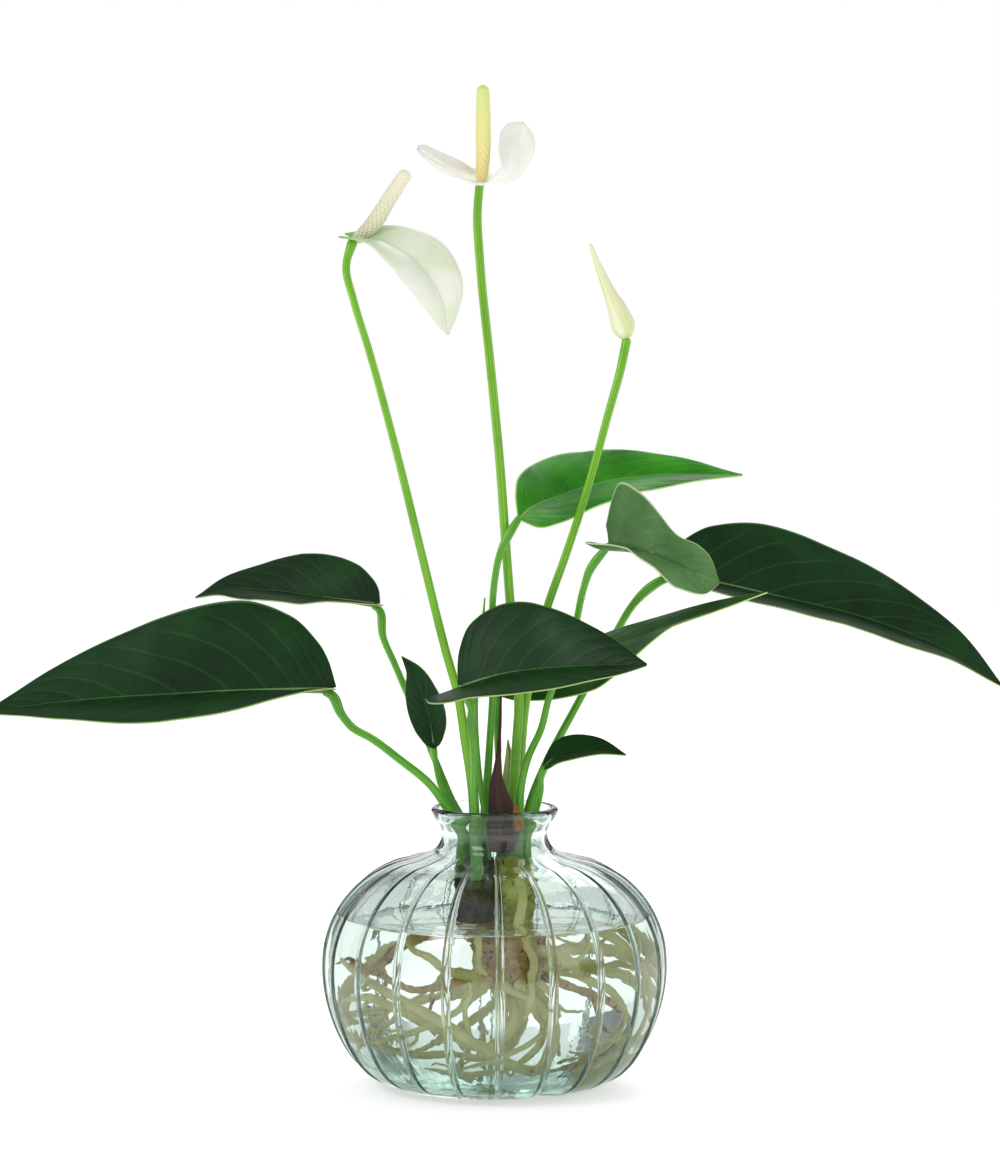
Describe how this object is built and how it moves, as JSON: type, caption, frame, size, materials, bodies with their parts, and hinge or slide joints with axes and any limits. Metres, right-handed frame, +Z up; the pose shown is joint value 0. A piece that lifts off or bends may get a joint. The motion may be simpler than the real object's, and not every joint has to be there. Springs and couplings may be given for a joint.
{
  "type": "anthurium in vase",
  "caption": "White anthurium plant with bare roots standing in water in a squat ribbed glass vase with a narrow neck.",
  "frame": {"origin": "middle of the vase's foot, on the surface it stands on", "axes": "+Z up, +X to the right and +Y away from someone looking at the front of the plant"},
  "size_m": [0.4195, 0.142, 0.4105],
  "materials": {
    "green_glass": "gloss",
    "water": "gloss",
    "old_crown": "matte",
    "green_crown": "matte",
    "clump": "matte",
    "root": "satin",
    "dark_leaf": "satin",
    "bright_leaf": "satin",
    "grey_leaf": "satin",
    "petiole": "satin",
    "flower_stalk": "satin",
    "white_spathe": "satin",
    "bud": "satin",
    "cream_spadix": "matte",
    "yellow_spadix": "matte",
    "brown_sheath": "matte",
    "pale_sheath": "matte"
  },
  "bodies": {
    "root": {"vase": "green_glass", "water": "water", "crown_old": "old_crown", "crown_green": "green_crown", "root_clump": "clump", "root_01": "root", "root_02": "root", "root_03": "root", "root_04": "root", "root_05": "root", "root_06": "root", "root_07": "root", "root_08": "root", "root_09": "root", "root_10": "root", "root_11": "root", "root_12": "root", "root_13": "root", "root_14": "root", "root_15": "root", "root_16": "root", "root_17": "root", "leaf_1": "dark_leaf", "leaf_2": "dark_leaf", "leaf_3": "dark_leaf", "leaf_4": "dark_leaf", "leaf_5": "bright_leaf", "leaf_6": "bright_leaf", "leaf_7": "grey_leaf", "leaf_8": "dark_leaf", "leaf_9": "dark_leaf", "petiole_1": "petiole", "petiole_2": "petiole", "petiole_3": "petiole", "petiole_4": "petiole", "petiole_5": "petiole", "petiole_6": "petiole", "petiole_7": "petiole", "petiole_8": "petiole", "petiole_9": "petiole", "flower_stem_1": "flower_stalk", "flower_stem_2": "flower_stalk", "flower_stem_3": "flower_stalk", "spathe_1": "white_spathe", "spathe_2": "white_spathe", "spathe_bud": "bud", "spadix_1": "cream_spadix", "spadix_2": "yellow_spadix", "cataphyll_brown": "brown_sheath", "cataphyll_scrap": "brown_sheath", "sheath_pale": "pale_sheath", "leaf_spear": "pale_sheath"}
  },
  "joints": []
}
